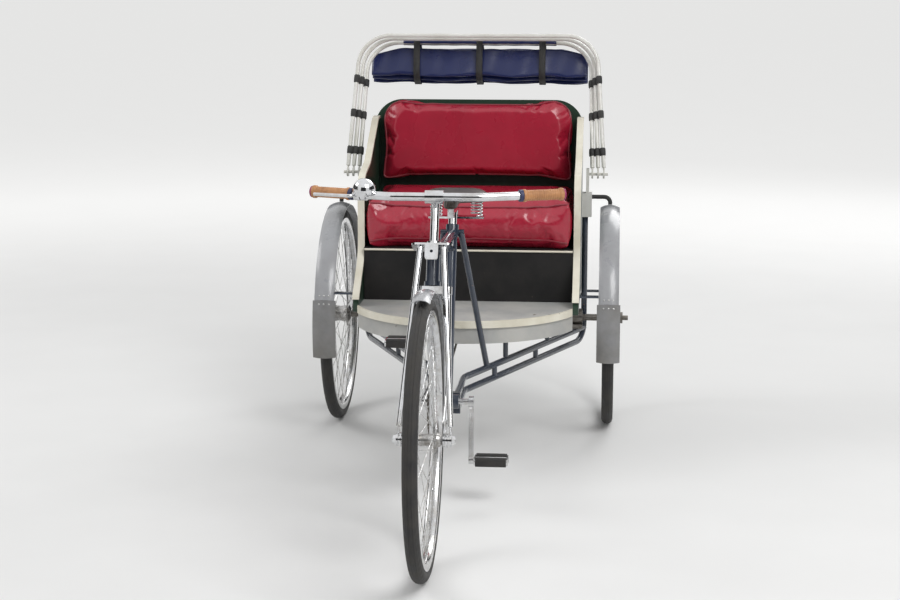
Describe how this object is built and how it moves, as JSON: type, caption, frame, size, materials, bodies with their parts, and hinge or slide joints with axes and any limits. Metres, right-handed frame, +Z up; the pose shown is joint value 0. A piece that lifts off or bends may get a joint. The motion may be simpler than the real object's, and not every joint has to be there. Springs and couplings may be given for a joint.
{
  "type": "three-wheeled cycle rickshaw",
  "caption": "Three-wheeled cycle rickshaw with a rider's saddle in front and a passenger bench under a folding hood.",
  "frame": {"origin": "on the ground under the middle of the whole vehicle's box", "axes": "+X forward, +Y to the vehicle's left, +Z up"},
  "size_m": [2.3934, 1.036, 1.29],
  "materials": {
    "frame_paint": "glossy enamel",
    "cast_metal": "greasy",
    "chrome": "polished",
    "rim_chrome": "polished, a little dull",
    "spoke_steel": "satin",
    "tyre_rubber": "matte, dusty",
    "saddle_leather": "smooth, worn",
    "floor_paint": "matte, scuffed",
    "cream_trim": "gloss",
    "body_paint": "glossy enamel",
    "seat_base": "satin",
    "seat_vinyl": "glossy vinyl",
    "mudguard_paint": "gloss, worn",
    "flap_paint": "matte, worn",
    "black_sleeve": "matte",
    "bow_paint": "gloss",
    "canopy_vinyl": "glossy vinyl",
    "chain_steel": "oily",
    "grip_rubber": "matte",
    "pedal_rubber": "matte"
  },
  "bodies": {
    "chassis": {"main_frame": "frame_paint", "rail_left": "frame_paint", "rail_right": "frame_paint", "floor_bearers": "frame_paint", "seat_stays": "frame_paint", "axle_bearings": "cast_metal", "seat_post": "chrome", "saddle": "saddle_leather", "saddle_springs": "chrome", "footboard": "floor_paint", "footboard_trim": "cream_trim", "side_panel_left": "body_paint", "side_panel_right": "body_paint", "side_trim": "cream_trim", "back_panel": "body_paint", "seat_box": "seat_base", "seat_cushion": "seat_vinyl", "seat_back": "seat_vinyl", "mudguard_left": "mudguard_paint", "mudguard_right": "mudguard_paint", "mudguard_flaps": "flap_paint", "mudguard_arms": "black_sleeve", "mudguard_brackets": "frame_paint", "hood_pivots": "bow_paint", "hood_rear_bow": "bow_paint", "canopy": "canopy_vinyl", "chain": "chain_steel"},
    "steering": {"fork": "chrome", "front_axle": "chrome", "truss_rods": "chrome", "head_plate": "chrome", "stem": "chrome", "handlebar": "chrome", "grips": "grip_rubber", "bell": "chrome", "brake_lever": "chrome", "front_mudguard": "mudguard_paint", "front_mudguard_stays": "chrome"},
    "front_wheel": {"front_tyre": "tyre_rubber", "front_rim": "rim_chrome", "front_hub": "spoke_steel"},
    "drive_axle": {"rear_axle": "cast_metal", "right_tyre": "tyre_rubber", "right_rim": "rim_chrome", "right_hub": "spoke_steel"},
    "left_wheel": {"left_tyre": "tyre_rubber", "left_rim": "rim_chrome", "left_hub": "spoke_steel"},
    "freewheel": {"sprocket": "chain_steel"},
    "crank": {"chainwheel": "rim_chrome", "cranks": "rim_chrome"},
    "pedal_left": {"pedal_left": "pedal_rubber"},
    "pedal_right": {"pedal_right": "pedal_rubber"},
    "hood_front": {"hood_front_bow": "bow_paint"},
    "hood_middle": {"hood_middle_bow": "bow_paint"}
  },
  "joints": [
    {"name": "steering", "type": "hinge", "parent": "chassis", "child": "steering", "pos_m": [0.77171, 0, 0.32741], "axis": [-0.3746, 0, 0.9272], "range_deg": [-45, 45]},
    {"name": "front_wheel_spin", "type": "hinge", "parent": "steering", "child": "front_wheel", "pos_m": [0.84125, 0, 0.3555], "axis": [0, 1, 0], "continuous": true},
    {"name": "rear_axle_spin", "type": "hinge", "parent": "chassis", "child": "drive_axle", "pos_m": [-0.81875, 0, 0.3555], "axis": [0, 1, 0], "continuous": true},
    {"name": "left_wheel_spin", "type": "hinge", "parent": "chassis", "child": "left_wheel", "pos_m": [-0.81875, 0, 0.3555], "axis": [0, 1, 0], "continuous": true},
    {"name": "crank_spin", "type": "hinge", "parent": "chassis", "child": "crank", "pos_m": [0.19457, 0, 0.3], "axis": [0, 1, 0], "continuous": true},
    {"name": "freewheel_spin", "type": "hinge", "parent": "chassis", "child": "freewheel", "pos_m": [-0.81875, 0, 0.3555], "axis": [0, 1, 0], "continuous": true},
    {"name": "pedal_left_spin", "type": "hinge", "parent": "crank", "child": "pedal_left", "pos_m": [0.19457, 0, 0.13], "axis": [0, 1, 0], "continuous": true},
    {"name": "pedal_right_spin", "type": "hinge", "parent": "crank", "child": "pedal_right", "pos_m": [0.19457, 0, 0.47], "axis": [0, 1, 0], "continuous": true},
    {"name": "hood_fold", "type": "hinge", "parent": "chassis", "child": "hood_front", "pos_m": [-0.87, 0, 0.832], "axis": [0, 1, 0], "range_deg": [0, 90]},
    {"name": "hood_middle_fold", "type": "hinge", "parent": "chassis", "child": "hood_middle", "pos_m": [-0.87, 0, 0.832], "axis": [0, 1, 0], "range_deg": [0, 45]}
  ],
  "couplings": [
    {"joint": "freewheel_spin", "follows": "crank_spin", "ratio": 2},
    {"joint": "hood_middle_fold", "follows": "hood_fold", "ratio": 0.5}
  ]
}
